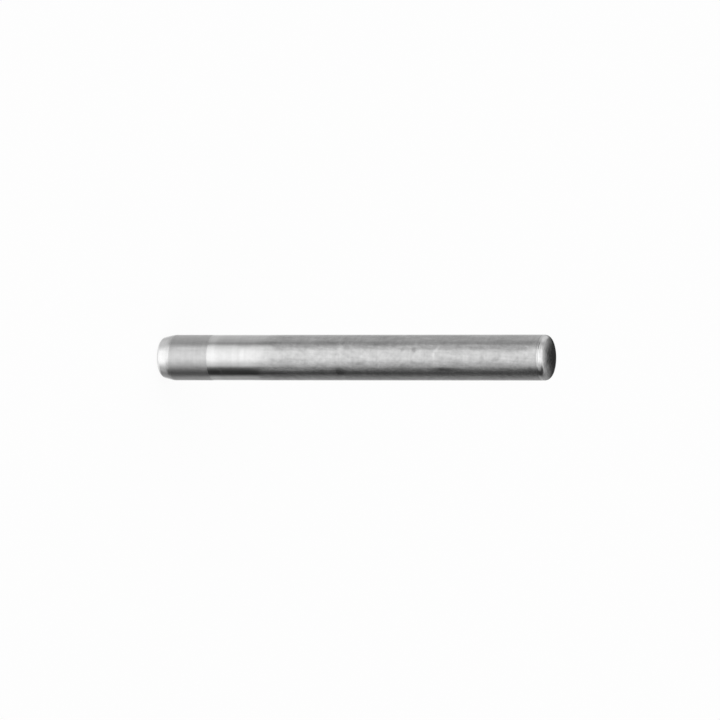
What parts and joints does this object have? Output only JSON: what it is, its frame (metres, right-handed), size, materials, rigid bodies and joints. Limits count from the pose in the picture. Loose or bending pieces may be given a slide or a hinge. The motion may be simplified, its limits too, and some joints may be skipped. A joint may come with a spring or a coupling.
{
  "type": "socket retaining pin",
  "caption": "Straight cylindrical steel cross pin with a tapered, round-cornered lead end and a shallow crowned blunt end, for locking an impact socket to its square drive.",
  "frame": {"origin": "middle of the flat face of the lead end, on which the pin stands", "axes": "+Z along the pin's axis from the lead end to the blunt end; X and Y are any two directions across it"},
  "size_m": [0.004, 0.004, 0.0365],
  "materials": {
    "ground_steel": "ground and lightly scuffed, with a duller band next to the lead end"
  },
  "bodies": {
    "root": {"retaining_pin": "ground_steel"}
  },
  "joints": []
}
